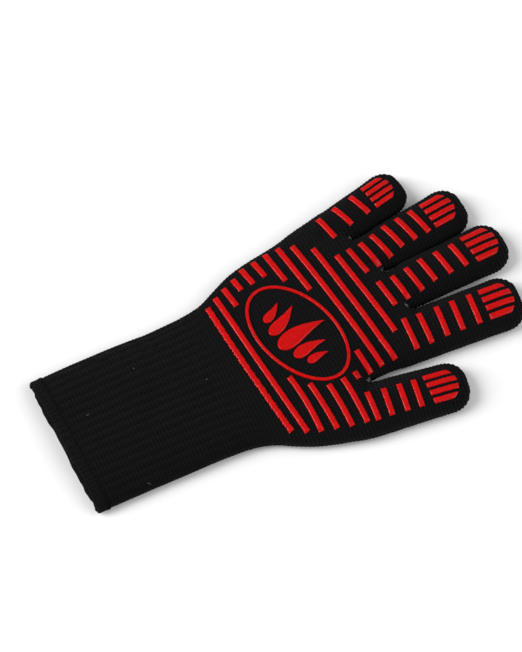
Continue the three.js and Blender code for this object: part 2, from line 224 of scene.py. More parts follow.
# Flames: place across and along of the base, length, widest, and how far the point leans.
FLAME_TONGUES = [
    (0, -18, 38, 12.5, -6), (-12.5, -15, 25, 8.5, -5), (13, -15, 27, 9, 5), (-22, -11, 16, 6, -3.5),
    (23, -11, 17, 6.5, 4),
]
FLAME_POINTS = 60
FLAME_BUNCH = 1.5  # a flame's points are closer together near its base
FLAME_SWAY = (1.4, 0.4)  # shares of the lean: out towards the point, and back near the base
FLAME_BELLY = 0.55  # lower numbers bring a flame's widest place nearer its base
FLAME_END = 0.4  # width of a flame's ends
PAD_RIBS = 4
PAD_GAP = 0.6  # gap between ribs, as a share of a rib
PAD_FILL = 0.62  # width of a pad, as a share of its finger's
PAD_ARC = 0.5  # how far the outer ribs are cut back, as a share of a pad's length
PAD_POINTS = 40

CROTCHES = [((254, 54), 60), ((263, 21.5), 110), ((265, -13), 75), ((215, -51), 120)]
TACK_STITCHES = 5
TACK_SPACING = 0.7
TACK_SHIFT = 0.5  # how unevenly the strands of a tack are placed
TACK_FAN = 9  # degrees between its strands
TACK_THREAD = 0.13
LINT_THREAD = 0.1
THREAD_LIFT = 0.3
THREAD_BOW = 0.2
LINT = [((25, 11), 1.1), ((41, -54), 1.2), ((70, 29), 0.8), ((112, -2), 0.5)]

# ---------- camera, light and floor

CAMERA_AZIMUTH, CAMERA_ELEVATION = -26.5, 64.0
CAMERA_LENS = 400.0
CAMERA_DISTANCE = 5.139
CAMERA_TARGET = Vector((-0.0072, 0.0285, 0.0))

# Soft suns: where each comes from, its width in degrees, and its strength.
LIGHTS = {
    "key": ((-1.1, 0.4, 1.1), 35, 2.2),
    "fill": ((1.0, -0.9, 1.1), 50, 1.2),
    "edge": ((-1.4, 0.6, 0.35), 20, 1.2),
}
WORLD_STRENGTH = 0.4
FLOOR_HALF = 20.0
PAPER = (0.9, 0.9, 0.9, 1)

# ---------- colours and textures

# Yarn colours: the first, in the stitches' hollows, is painted shade; the second, on their tops, is
# painted highlight.
BLACK_YARN_SHADE_AND_HIGHLIGHT = ((0.0003, 0.0003, 0.0004), (0.0075, 0.0071, 0.0082))  # in the stitches' hollows and on top
HEM_YARN_SHADE_AND_HIGHLIGHT = ((0.0004, 0.0004, 0.0005), (0.0084, 0.008, 0.009))
LINER_YARN_SHADE_AND_HIGHLIGHT = ((0.012, 0.012, 0.013), (0.05, 0.05, 0.052))
PALE_YARN = [(0.35, (0.12, 0.12, 0.115)), (0.65, (0.34, 0.34, 0.32))]
RED = [(0.3, (0.36, 0.0006, 0.0006)), (0.55, (0.52, 0.001, 0.001)), (0.75, (0.6, 0.004, 0.003))]
# Scales of noise: fibres of the yarn, patches of its colour, and the silicone's lumps and specks.
FIBRES, PATCHES, PALE_PATCHES = 2600, 60, 900
LUMPS, SPECKS = 420, 1500
KNIT_BUMP, SILICONE_BUMP = 0.0007, 0.0003  # depths of the fine relief, in metres


def axis_of(finger):
    """Root, direction and length of a finger in plan."""
    root, tip = np.array(finger["root"], float), np.array(finger["tip"], float)
    length = np.linalg.norm(tip - root)
    return root, (tip - root) / length, length


def along_and_left(finger, points):
    """Distance along a finger and to its left, for points in plan."""
    root, along, _ = axis_of(finger)
    away = points[:, :2] - root
    left = away[:, 1] * along[0] - away[:, 0] * along[1]
    return away @ along, left


def on_finger(finger, distance, left=0.0):
    """Point in plan at a distance along a finger and to its left."""
    root, along, _ = axis_of(finger)
    return root + along * distance + np.array([-along[1], along[0]]) * left


def half_width(finger, distance):
    """Half the width of a finger at a distance along it, without its rounded tip."""
    straight = axis_of(finger)[2] - TIP_LENGTH
    share = np.clip(np.asarray(distance, float) / straight, 0, 1)
    return finger["half"][0] + (finger["half"][1] - finger["half"][0]) * share


def ramp(value, start, end):
    """0 before start, 1 after end, and smooth between."""
    t = np.clip((value - start) / (end - start), 0, 1)
    return t * t * (3 - 2 * t)


def section(half, height, sides, grow=0.0):
    """Closed cross-section as across and up, facing down at its first side."""
    angle = (np.arange(sides) + 0.5) * 2 * math.pi / sides - math.pi / 2
    c, s = np.cos(angle), np.sin(angle)
    power = 2 / np.where(s > 0, CROWN_POWER, BACK_POWER)
    middle = height * MID_HEIGHT
    reach = np.where(s > 0, height - middle + grow, (middle + grow) * BACK_DROP)
    across = np.sign(c) * np.abs(c) ** power * (half + grow)
    up = middle + np.sign(s) * np.abs(s) ** power * reach
    return across, np.maximum(up, max(0.0, -grow))


def tangents_of(table):
    """Slopes at the rows of a table that make a curve through them without overshoot."""
    slopes = np.diff(table[:, 1:], axis=0) / np.diff(table[:, :1], axis=0)
    before, after = slopes[:-1], slopes[1:]
    total = np.where(before + after == 0, 1, before + after)
    inner = np.where(before * after > 0, 2 * before * after / total, 0)
    return np.vstack([slopes[:1], inner, slopes[-1:]])


def smooth_table(rows, step):
    """Rows of numbers, joined by smooth curves, at a closer step in the first number."""
    table = np.array(rows, float)
    x = np.arange(table[0, 0], table[-1, 0] + step / 2, step)
    tangents = tangents_of(table)
    at = np.clip(np.searchsorted(table[:, 0], x, side="right") - 1, 0, len(table) - 2)
    gap = table[at + 1, 0] - table[at, 0]
    t = ((x - table[at, 0]) / gap)[:, None]
    start, end = table[at, 1:], table[at + 1, 1:]
    start_tangent, end_tangent = tangents[at] * gap[:, None], tangents[at + 1] * gap[:, None]
    values = (2 * t**3 - 3 * t**2 + 1) * start + (t**3 - 2 * t**2 + t) * start_tangent
    values += (-2 * t**3 + 3 * t**2) * end + (t**3 - t**2) * end_tangent
    return np.hstack([x[:, None], values])


def hand_rings(grow):
    """Rings of points round the cuff and palm."""
    rings = []
    for x, low, high, height in smooth_table(HAND_SECTIONS, HAND_STEP):
        across, up = section((high - low) / 2, height, HAND_SIDES, grow)
        rings.append(np.column_stack([np.full(HAND_SIDES, x), (low + high) / 2 + across, up]))
    return rings


def slimming(finger, left):
    """How much further in a finger's side is joined, right or left of its middle."""
    right_slim, left_slim = finger["slim"]
    return np.where(left > 0, left_slim, right_slim)


def finger_stations(straight):
    """Distances along a finger, each with the share of its width that is left there."""
    stations = [(d, 1.0) for d in np.linspace(0, straight, FINGER_STATIONS)]
    last = math.acos(TIP_END)
    for step in range(1, TIP_STEPS + 1):
        turn = step / TIP_STEPS * last
        distance = straight + TIP_LENGTH * math.sin(turn) / math.sin(last)
        stations.append((distance, math.cos(turn) ** TIP_POWER))
    return stations


def finger_rings(finger, grow):
    """Rings of points round a finger, from inside the hand to its tip."""
    _, _, length = axis_of(finger)
    middle = finger["height"] * MID_HEIGHT
    rings = []
    for distance, share in finger_stations(length - TIP_LENGTH + grow):
        root = ROOT_SHARE + (1 - ROOT_SHARE) * ramp(distance, 0, ROOT_REACH)
        half = half_width(finger, distance) * root
        across, up = section(half, finger["height"], FINGER_SIDES, grow)
        across -= across / half * slimming(finger, across) * ramp(distance, 0, SLIM_REACH)
        plan = np.array([on_finger(finger, distance, left) for left in across * share])
        rings.append(np.column_stack([plan, middle + (up - middle) * share]))
    return rings


# ---------- mesh helpers

def new_object(name, mesh):
    """Object of a mesh, linked to the scene."""
    obj = bpy.data.objects.new(name, mesh)
    bpy.context.scene.collection.objects.link(obj)
    return obj


def mesh_from(name, points, faces):
    """Mesh from points in the glove's plan, in millimetres."""
    mesh = bpy.data.meshes.new(name)
    corners = [[int(corner) for corner in face] for face in faces]
    mesh.from_pydata(((np.asarray(points) - ORIGIN) * MM).tolist(), [], corners)
    mesh.validate()
    mesh.update()
    return mesh


def points_of(mesh):
    """A mesh's points in the glove's plan, in millimetres."""
    flat = np.empty(len(mesh.vertices) * 3)
    mesh.vertices.foreach_get("co", flat)
    return flat.reshape(-1, 3) / MM + ORIGIN


def set_points(mesh, points):
    """Moves a mesh's points to places in the glove's plan, in millimetres."""
    mesh.vertices.foreach_set("co", ((points - ORIGIN) * MM).ravel())
    mesh.update()


def corners_of(mesh):
    """The point number at each corner of a mesh's faces, in one row."""
    flat = np.empty(len(mesh.loops), np.int64)
    mesh.loops.foreach_get("vertex_index", flat)
    return flat


def quads_of(mesh):
    """Corner numbers of an all-quad mesh."""
    return corners_of(mesh).reshape(-1, 4)


def skin(rings):
    """Faces between rings of points and over both ends."""
    count = len(rings[0])
    faces = []
    for ring in range(len(rings) - 1):
        start = ring * count
        for side in range(count):
            a, b = start + side, start + (side + 1) % count
            faces.append((a, b, b + count, a + count))
    last = (len(rings) - 1) * count
    faces.append(tuple(range(count - 1, -1, -1)))
    faces.append(tuple(range(last, last + count)))
    return faces


def with_modifier(mesh, kind, **settings):
    """The mesh after one modifier."""
    obj = new_object("modified", mesh)
    modifier = obj.modifiers.new("step", kind)
    for key, value in settings.items():
        setattr(modifier, key, value)
    evaluated = obj.evaluated_get(bpy.context.evaluated_depsgraph_get())
    result = bpy.data.meshes.new_from_object(evaluated)
    bpy.data.objects.remove(obj)
    return result


def relax(points, quads, rounds):
    """Evens out a surface by moving each point towards its neighbours, without shrinking it."""
    ends = np.vstack([quads[:, [k, (k + 1) % 4]] for k in range(4)])
    ends = np.vstack([ends, ends[:, ::-1]])
    count = len(points)
    degree = np.bincount(ends[:, 0], minlength=count)[:, None]
    for turn in range(rounds * 2):
        towards = points[ends[:, 1]]
        total = [np.bincount(ends[:, 0], weights=towards[:, k], minlength=count) for k in range(3)]
        pull = RELAX_PULL if turn % 2 == 0 else -RELAX_PUSH
        points = points + (np.column_stack(total) / degree - points) * pull
    return points


def joined(shapes):
    """Points and faces of several shapes as one."""
    points, faces = [], []
    first = 0
    for shape_points, shape_faces in shapes:
        faces += [tuple(first + corner for corner in face) for face in shape_faces]
        points.append(shape_points)
        first += len(shape_points)
    return np.vstack(points), faces


def normals_of(mesh):
    """Direction out of the surface at each point of a mesh."""
    flat = np.empty(len(mesh.vertices) * 3)
    mesh.vertices.foreach_get("normal", flat)
    return flat.reshape(-1, 3)


# ---------- one skin for the whole glove

def joined_skin(voxel, grow=0.0):
    """Hand and fingers joined into one smooth surface, closed at the cuff for now."""
    tubes = [hand_rings(grow)] + [finger_rings(finger, grow) for finger in FINGERS.values()]
    raw = mesh_from("raw", *joined([(np.vstack(rings), skin(rings)) for rings in tubes]))
    mesh = with_modifier(raw, "REMESH", mode="VOXEL", voxel_size=voxel * MM, adaptivity=0)
    set_points(mesh, relax(points_of(mesh), quads_of(mesh), SMOOTHING))
    return mesh


def finger_share(points):
    """For each point, the number of the finger it is on, or -1, and its coordinates there."""
    best = np.full(len(points), -1)
    closeness = np.full(len(points), FINGER_NEAR)
    coordinates = np.zeros((len(points), 2))
    for number, finger in enumerate(FINGERS.values()):
        along, left = along_and_left(finger, points)
        near = np.abs(left) / half_width(finger, along)
        mine = (along > finger["free"] - KNIT_TURN) & (near < closeness)
        best[mine], closeness[mine] = number, near[mine]
        coordinates[mine] = np.column_stack([along, left])[mine]
    return best, coordinates


def widen_fingers(points):
    """Gives the fingers back the width that was kept off them past the crotches."""
    owner, _ = finger_share(points)
    for number, finger in enumerate(FINGERS.values()):
        mine = owner == number
        along, left = along_and_left(finger, points[mine])
        _, direction, _ = axis_of(finger)
        share = left / half_width(finger, along)
        back = np.where(left > 0, finger["widen"][1], finger["widen"][0])
        start = ramp(along, finger["free"], finger["free"] + WIDEN_REACH)
        push = share * slimming(finger, left) * back * start
        points[mine, 0] -= direction[1] * push
        points[mine, 1] += direction[0] * push
    return points


def swell(points):
    """Slow unevenness of a soft knit: two crossed patterns of waves, the same on every run."""
    x, y = points[:, 0], points[:, 1]
    waves = np.sin(x / 17 + 0.6 * np.sin(y / 23)) * np.cos(y / 15 + 1.1)
    waves += 0.7 * np.sin(x / 8.5 - y / 11 + 2.0) * np.sin(y / 27 + x / 40)
    return SWELL * waves


# ---------- stitches

def round_side(across, up, height):
    """Adds the height gone down a side to the distance across, so stitches don't stretch there."""
    middle = height * MID_HEIGHT
    crown = (height - up) * middle / (height - middle)
    side = np.clip(across / SIDE_START, -1, 1)
    return across + side * np.where(up > middle, crown, up) * SIDE_SHARE


def hand_knit(points):
    """Rows along and columns across hand and cuff, in stitches; the cuff's are narrower."""
    table = np.array([row for row in HAND_SECTIONS if row[0] <= WIDEST_X], float)
    low = np.interp(points[:, 0], table[:, 0], table[:, 1])
    high = np.interp(points[:, 0], table[:, 0], table[:, 2])
    across = round_side(points[:, 1] - (low + high) / 2, points[:, 2], KNIT_HEIGHT)
    return np.column_stack([points[:, 0] / COURSE, across / (high - low) * COLUMNS])


def knit_of(points, owner, coordinates):
    """Rows and columns of stitches at points, turning from the hand's to each finger's own."""
    knit = hand_knit(points)
    wale = hand_width() / COLUMNS
    for number, finger in enumerate(FINGERS.values()):
        mine = owner == number
        along, left = coordinates[mine].T
        free = finger["free"]
        start = np.append(on_finger(finger, free), KNIT_HEIGHT)[None, :]
        rows, columns = hand_knit(start)[0]
        own = np.column_stack([
            rows + (along - free) / COURSE,
            columns + round_side(left, points[mine, 2], finger["height"]) / wale,
        ])
        share = ramp(along, free - KNIT_TURN, free + KNIT_TURN)[:, None]
        knit[mine] = knit[mine] * (1 - share) + own * share
    return knit


def hand_width():
    """Width of the hand at its widest."""
    _, low, high, _ = next(row for row in HAND_SECTIONS if row[0] == WIDEST_X)
    return high - low


def stitch_height(knit):
    """Relief of plain knit: two slanted legs of yarn for each stitch, from 0 to 1."""
    across = np.abs(knit[:, 1] - np.round(knit[:, 1])) * 2
    leg = 1 - (2 * across - 1) ** 2
    slant = 0.5 + 0.5 * np.cos(2 * math.pi * (knit[:, 0] + across * 0.5))
    return np.clip(leg, 0, 1) ** 0.7 * (1 - STITCH_SLANT + STITCH_SLANT * slant)


def rib_height(knit, points):
    """Relief of the cuff's ribs, fading into the plain knit of the hand."""
    shape = np.abs(np.cos(math.pi * knit[:, 1] / RIB_COLUMNS)) ** 0.8
    x = points[:, 0]
    fade = (1 - ramp(x, RIB_END, PLAIN_START)) * ramp(x, HEM_LENGTH, HEM_LENGTH + HEM_FADE)
    return (shape - RIB_MIDDLE) * fade


def tip_share(owner, coordinates):
    """1 round the ends of the fingers, where the stitches stand out more, and 0 elsewhere."""
    share = np.zeros(len(owner))
    for number, finger in enumerate(FINGERS.values()):
        mine = owner == number
        length = axis_of(finger)[2]
        share[mine] = ramp(coordinates[mine, 0], length - 2 * TIP_LENGTH, length - TIP_LENGTH / 2)
    return share


def knit_surface():
    """The outer knit with its relief, its smooth points, their fingers, and their stitches."""
    mesh = joined_skin(VOXEL)
    set_points(mesh, widen_fingers(points_of(mesh)))
    mesh = with_modifier(mesh, "SUBSURF", levels=1, render_levels=1)
    points = points_of(mesh)
    out = swell(points) * ramp(points[:, 2], SWELL_FROM, SWELL_FULL)
    points += normals_of(mesh) * out[:, None]
    set_points(mesh, points)
    smooth = points.copy()
    owner, coordinates = finger_share(points)
    knit = knit_of(points, owner, coordinates)
    depth = STITCH_DEPTH * (1 + tip_share(owner, coordinates)) * stitch_height(knit)
    depth += RIB_DEPTH * rib_height(knit, points)
    points = points + normals_of(mesh) * depth[:, None]
    points[:, 2] = np.maximum(points[:, 2], 0.0)
    set_points(mesh, points)
    return mesh, smooth, owner, knit


# ---------- joints

def joint_between(parent, child):
    """The frame's joint from one body to the next."""
    return next(j for j in frame["joints"] if j["parent"] == parent and j["child"] == child)


def fold(parent, child):
    """Point on a fold and its heading towards the child, in mm in the glove's plan."""
    joint = joint_between(parent, child)
    point = np.array(joint["pos_m"]) / MM + ORIGIN
    axis = np.array(joint["axis"])
    return point, np.array([-axis[1], axis[0], 0.0])


def past_fold(points, parent, child):
    """How far points in plan are past a fold."""
    point, heading = fold(parent, child)
    return (points - point) @ heading


def bend_with(piece, parent, child, before, after):
    """Bakes the piece's placement into its mesh; parent, child, before and after are not used."""
    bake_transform(piece)


def piece_of_points(points, owner):
    """Which piece of knit each point is in: palm, cuff, or a finger's lower or upper piece."""
    names = np.full(len(points), "palm", dtype="<U16")
    names[past_fold(points, "palm", "cuff") > -WRIST_BEND[0] - CUT_MARGIN] = "cuff"
    for number, (name, finger) in enumerate(FINGERS.items()):
        mine = owner == number
        lower = past_fold(points, "palm", f"{name}_base") > -finger["lower"][0] - CUT_MARGIN
        middle_fold = past_fold(points, f"{name}_base", f"{name}_tip")
        names[mine & lower] = f"{name}_lower"
        names[mine & (middle_fold > -finger["upper"][0] - CUT_MARGIN)] = f"{name}_upper"
    return names


def follow(piece, part):
    """Attaches a palm piece to the palm and the hem to the cuff; any other piece only has its placement
    baked in.
    """
    if part == "palm":
        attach(piece, "palm")
    elif part == "hem":
        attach(piece, "cuff")
    elif part == "cuff":
        bend_with(piece, "palm", "cuff", *WRIST_BEND)
    else:
        name, where = part.split("_")
        if where == "lower":
            bend_with(piece, "palm", f"{name}_base", *FINGERS[name]["lower"])
        else:
            bend_with(piece, f"{name}_base", f"{name}_tip", *FINGERS[name]["upper"])


def body_of_part(part):
    """The CAD body that a part of the knit stands for."""
    return part.replace("_lower", "_base").replace("_upper", "_tip")


# ---------- the stage

def add_camera():
    """A camera with a very long lens that looks down on the palm."""
    azimuth, elevation = math.radians(CAMERA_AZIMUTH), math.radians(CAMERA_ELEVATION)
    level = math.cos(elevation)
    back = Vector((math.sin(azimuth) * level, -math.cos(azimuth) * level, math.sin(elevation)))
    data = bpy.data.cameras.new("camera")
    data.lens = CAMERA_LENS
    camera = bpy.data.objects.new("camera", data)
    camera.location = CAMERA_TARGET + back * CAMERA_DISTANCE
    camera.rotation_mode = "QUATERNION"
    camera.rotation_quaternion = (-back).to_track_quat("-Z", "Y")
    bpy.context.scene.collection.objects.link(camera)
    bpy.context.scene.camera = camera


def add_light(name, towards, spread, strength):
    """A soft light from far off, the same all over the floor; spread is its width in degrees."""
    data = bpy.data.lights.new(name, "SUN")
    data.angle, data.energy = math.radians(spread), strength
    light = bpy.data.objects.new(name, data)
    light.rotation_mode = "QUATERNION"
    light.rotation_quaternion = Vector(towards).to_track_quat("Z", "Y")
    bpy.context.scene.collection.objects.link(light)


def add_stage():
    """White surroundings, soft suns and a pale floor."""
    world = bpy.data.worlds.new("studio")
    world.use_nodes = True
    background = world.node_tree.nodes["Background"]
    background.inputs["Color"].default_value = (1, 1, 1, 1)
    background.inputs["Strength"].default_value = WORLD_STRENGTH
    bpy.context.scene.world = world
    bpy.context.scene.view_settings.view_transform = "Standard"
    for name, light in LIGHTS.items():
        add_light(name, *light)
    corners = [(x * FLOOR_HALF, y * FLOOR_HALF, 0) for x, y in ((-1, -1), (1, -1), (1, 1), (-1, 1))]
    mesh = bpy.data.meshes.new("floor")
    mesh.from_pydata(corners, [], [(0, 1, 2, 3)])
    floor = new_object("floor", mesh)
    paper = Surface("paper")
    paper.set_values({"Base Color": PAPER, "Roughness": 0.9})
    mesh.materials.append(paper.material)


# ---------- materials

class Surface:
    """A material, with ways to add nodes in front of its shader."""

    def __init__(self, name):
        self.material = bpy.data.materials.new(name)
        self.material.use_nodes = True
        self.nodes = self.material.node_tree.nodes
        self.links = self.material.node_tree.links
        self.shader = self.nodes["Principled BSDF"]

    def set_values(self, values):
        """Sets inputs of the shader by their names."""
        for name, value in values.items():
            self.shader.inputs[name].default_value = value

    def math(self, operation, *values):
        """One Math node on sockets or numbers."""
        node = self.nodes.new("ShaderNodeMath")
        node.operation = operation
        for socket, value in zip(node.inputs, values):
            if isinstance(value, (int, float)):
                socket.default_value = value
            else:
                self.links.new(value, socket)
        return node.outputs[0]

    def noise(self, scale, detail):
        """Noise in the object's own space, from 0 to 1."""
        node = self.nodes.new("ShaderNodeTexNoise")
        node.inputs["Scale"].default_value = scale
        node.inputs["Detail"].default_value = detail
        place = self.nodes.new("ShaderNodeTexCoord")
        self.links.new(place.outputs["Object"], node.inputs["Vector"])
        return node.outputs["Fac"]

    def colour(self, value, stops):
        """Colours the surface by a value, between stops of position and colour."""
        node = self.nodes.new("ShaderNodeValToRGB")
        for element, (position, colour) in zip(node.color_ramp.elements, (stops[0], stops[-1])):
            element.position, element.color = position, (*colour, 1)
        for position, colour in stops[1:-1]:
            node.color_ramp.elements.new(position).color = (*colour, 1)
        self.links.new(value, node.inputs["Fac"])
        self.links.new(node.outputs["Color"], self.shader.inputs["Base Color"])

    def bump(self, height, strength, distance):
        """Roughens the surface by a height; distance is in metres."""
        node = self.nodes.new("ShaderNodeBump")
        node.inputs["Strength"].default_value = strength
        node.inputs["Distance"].default_value = distance
        self.links.new(height, node.inputs["Height"])
        self.links.new(node.outputs["Normal"], self.shader.inputs["Normal"])


def stitch_relief(surface):
    """Relief of slanted legs of yarn for a material, much as stitch_height has it."""
    uv = surface.nodes.new("ShaderNodeUVMap")
    uv.uv_map = "knit"
    parts = surface.nodes.new("ShaderNodeSeparateXYZ")
    surface.links.new(uv.outputs["UV"], parts.inputs["Vector"])
    math_node = surface.math
    across = math_node("MULTIPLY", math_node("PINGPONG", parts.outputs["Y"], 0.5), 2.0)
    off_leg = math_node("SUBTRACT", math_node("MULTIPLY", across, 2.0), 1.0)
    leg = math_node("SUBTRACT", 1.0, math_node("POWER", off_leg, 2.0))
    phase = math_node("ADD", parts.outputs["X"], math_node("MULTIPLY", across, 0.5))
    wave = math_node("COSINE", math_node("MULTIPLY", phase, 2 * math.pi))
    slant = math_node("ADD", math_node("MULTIPLY", wave, 0.5), 0.5)
    slanted = math_node("ADD", math_node("MULTIPLY", slant, STITCH_SLANT), 1 - STITCH_SLANT)
    return math_node("MULTIPLY", leg, slanted)


def knit_material(name, yarn, strength):
    """Knit: legs of yarn in pairs, with fine fibres and slow patches, coloured darker in its hollows as
    painted shade and lighter on the legs as painted highlight.
    """
    surface = Surface(name)
    dark, light = yarn
    relief = stitch_relief(surface)
    fibres = surface.noise(FIBRES, 3.0)
    patches = surface.noise(PATCHES, 3.0)
    height = surface.math("ADD", relief, surface.math("MULTIPLY", fibres, 0.35))
    surface.bump(height, strength, KNIT_BUMP)
    uneven = surface.math("MULTIPLY", surface.math("ADD", patches, fibres), 0.15)
    # Colour follows the stitch relief (painted shade in the hollows, painted highlight on the legs) plus
    # random patches of tone.
    painted_shade_and_tone = surface.math("ADD", surface.math("MULTIPLY", relief, 0.75), uneven)
    surface.colour(painted_shade_and_tone, [(0.1, dark), (0.9, light)])
    surface.set_values({
        "Roughness": 0.88, "Sheen Weight": 0.02, "Sheen Roughness": 0.5, "Specular IOR Level": 0.06,
    })
    return surface.material


def thread_material():
    """Pale loose yarn."""
    surface = Surface("pale_thread")
    surface.colour(surface.noise(PALE_PATCHES, 2.0), PALE_YARN)
    surface.set_values({"Roughness": 0.8})
    return surface.material


def silicone_material():
    """Glossy red print: slight lumps from the knit under it, and paler specks that are painted glints."""
    surface = Surface("silicone_red")
    lumps = surface.noise(LUMPS, 2.0)
    specks = surface.noise(SPECKS, 2.0)
    relief = surface.math("ADD", lumps, surface.math("MULTIPLY", specks, 0.25))
    surface.bump(relief, 0.5, SILICONE_BUMP)
    # Painted highlight: the red is made paler at the specks, standing in for glints.
    painted_glints = surface.math("MULTIPLY", specks, 0.4)
    surface.colour(surface.math("ADD", surface.math("MULTIPLY", lumps, 0.6), painted_glints), RED)
    rough = surface.math("ADD", surface.math("MULTIPLY", specks, 0.25), 0.1)
    surface.links.new(rough, surface.shader.inputs["Roughness"])
    surface.set_values({"Specular IOR Level": 0.2})
    return surface.material


# ---------- knit pieces

def finished(mesh, material, part):
    """Object of a mesh that is smooth, has its material, and is handed to follow for its part of the
    glove.
    """
    mesh.polygons.foreach_set("use_smooth", [True] * len(mesh.polygons))
    mesh.materials.append(material)
    piece = new_object(mesh.name, mesh)
    follow(piece, part)
    return piece


def set_stitches(mesh, stitches):
    """Gives the corners of a mesh's faces their rows and columns of stitches."""
    layer = mesh.uv_layers.new(name="knit")
    layer.data.foreach_set("uv", stitches.ravel().astype(np.float32))


def add_skin_pieces(kind, mesh, owner, knit, material, node_kind, mouth):
    """Splits a skin of the whole glove where its parts bend, opens the cuff, and adds each piece."""
    points, quads = points_of(mesh), quads_of(mesh)
    part_of_point = piece_of_points(points, owner)
    part_of_face = part_of_point[quads[:, 0]]
    inside = points[quads, 0].mean(axis=1) > mouth
    for part in sorted(set(part_of_point)):
        chosen = (part_of_face == part) & inside
        used, corners = np.unique(quads[chosen], return_inverse=True)
        part_mesh = mesh_from(f"{part}_{kind}", points[used], corners.reshape(-1, 4))
        set_stitches(part_mesh, knit[quads[chosen]])
        piece = finished(part_mesh, material, part)
        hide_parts(f"{body_of_part(part)}_{node_kind}")


def add_outer_knit(mesh, owner, knit, material):
    """The knitted shell."""
    add_skin_pieces("knit", mesh, owner, knit, material, "shell", KNIT_START)


def add_liner(material):
    """The soft lining inside the knit, seen at the mouth."""
    mesh = joined_skin(LINER_VOXEL, -LINER_DEPTH)
    points = points_of(mesh)
    owner, coordinates = finger_share(points)
    knit = knit_of(points, owner, coordinates)
    add_skin_pieces("lining", mesh, owner, knit, material, "liner", LINER_START)


# ---------- hem of the mouth

def hand_section_at(x):
    """Thumb side, little finger side and height of the cuff at a distance from the mouth."""
    table = np.array(HAND_SECTIONS, float)
    return [np.interp(x, table[:, 0], table[:, column]) for column in (1, 2, 3)]


def add_hem(material):
    """A folded band round the mouth, its edge slightly wavy."""
    turn = (np.arange(HEM_SIDES) + 0.5) / HEM_SIDES * 2 * math.pi
    wave = sum(height * np.sin(turn * count + phase) for height, count, phase in HEM_WAVES)
    rings = []
    for x, grow in reversed(HEM_PROFILE):
        low, high, height = hand_section_at(x)
        across, up = section((high - low) / 2, height, HEM_SIDES, grow)
        stitches = HEM_RELIEF * np.sin(turn * HEM_STITCHES) * min(1, max(0, grow + 1))
        rings.append(np.column_stack([
            x + wave * ramp(-x, -HEM_WAVE_END, -HEM_WAVE_FULL),
            (low + high) / 2 + across,
            up + stitches * (up > HEM_RELIEF_FROM),
        ]))
    sleeve = skin(rings)[:-2]
    mesh = mesh_from("cuff_hem_band", np.vstack(rings), sleeve)
    corners = corners_of(mesh)
    around = turn[corners % HEM_SIDES] / (2 * math.pi) * HEM_ROWS[0]
    set_stitches(mesh, np.column_stack([around, corners // HEM_SIDES * HEM_ROWS[1]]))
    hem = finished(mesh, material, "hem")
    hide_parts("cuff_hem")


def add_hem_stitches(material):
    """Slanting stitches over the hem's outer edge, all the way round."""
    x = HEM_PROFILE[2][0]
    low, high, height = hand_section_at(x)
    across, up = section((high - low) / 2, height, 4 * HEM_STITCHES, HEM_PROFILE[3][1])
    side = (low + high) / 2 + across
    up = np.maximum(up, HEM_STITCH_LOW)
    before, after = HEM_STITCH_REACH
    top, dip, middle = HEM_ARCH
    t = np.linspace(0, 1, 7)[:, None]
    stitches = []
    for first in range(0, 4 * HEM_STITCHES, 4):
        start = np.array([x - before, side[first], up[first]])
        end = np.array([x + after, side[first + 2], up[first + 2]])
        out = np.array([0, across[first + 1] * OUT_SIDEWAYS, max(0.0, up[first + 1] - OUT_UP_FROM)])
        out = out / (np.linalg.norm(out) + 1e-9)
        arch = start + (end - start) * t + out * (top - dip * (t - middle) ** 2)
        stitches.append(thread(arch, HEM_THREAD))
    add_bits("hem_stitches", stitches, material, "cuff")


# ---------- silicone print

def curve_through(start, middle, end):
    """Points along the curve through three places in plan."""
    start, middle, end = (np.array(place, float) for place in (start, middle, end))
    bend = 2 * middle - (start + end) / 2
    count = max(5, int(np.linalg.norm(end - start) / PRINT_STEP))
    t = np.linspace(0, 1, count)[:, None]
    return (1 - t) ** 2 * start + 2 * t * (1 - t) * bend + t**2 * end


def straight(start, end):
    """Points along a straight line in plan."""
    return curve_through(start, (np.array(start) + end) / 2, end)


class Ground:
    """The smooth surface of the knit under the print."""

    def __init__(self, points, quads):
        self.tree = BVHTree.FromPolygons(points.tolist(), quads.tolist())

    def height(self, plan):
        """Height of the surface at places in plan."""
        heights = []
        for x, y in plan:
            hit = self.tree.ray_cast(Vector((x, y, ABOVE_ALL)), Vector((0, 0, -1)))[0]
            heights.append(hit.z if hit else 0.0)
        return np.array(heights)


def wave_at(travel, seed):
    """Small unevenness of a printed edge, from -1 to 1."""
    return 0.6 * np.sin(travel * 2.3 + seed) + 0.4 * np.sin(travel * 0.9 + seed * 2)


def stroke(ground, line, width, rough=PLAIN_WAVE, closed=False):
    """One stroke of silicone along a line in plan; width is a number or one per point."""
    if closed:
        step = np.roll(line, -1, 0) - np.roll(line, 1, 0)
    else:
        step = np.gradient(line, axis=0)
    step = step / np.linalg.norm(step, axis=1)[:, None]
    left = np.column_stack([-step[:, 1], step[:, 0]])
    lengths = np.linalg.norm(np.diff(line, axis=0), axis=1)
    travel = np.concatenate([[0], np.cumsum(lengths)])
    seed = line[0, 0] * 3.7 + line[0, 1] * 1.3
    half = np.broadcast_to(np.asarray(width, float) / 2, travel.shape)
    paths = []
    for share, _ in PRINT_PROFILE:
        edge = rough * wave_at(travel, seed + 5 * np.sign(share)) * np.sign(share)
        paths.append(line + left * (share * half + edge * abs(share))[:, None])
    ends = np.ones_like(travel) if closed else end_height(travel)
    return raised(ground, paths, ends, closed)


def end_height(travel):
    """Share of the full rise along a stroke, whose ends are rounded over."""
    rounding = np.clip(np.minimum(travel, travel[-1] - travel) / END_ROUND, 0, 1)
    return np.sqrt(1 - (1 - rounding) ** 2)


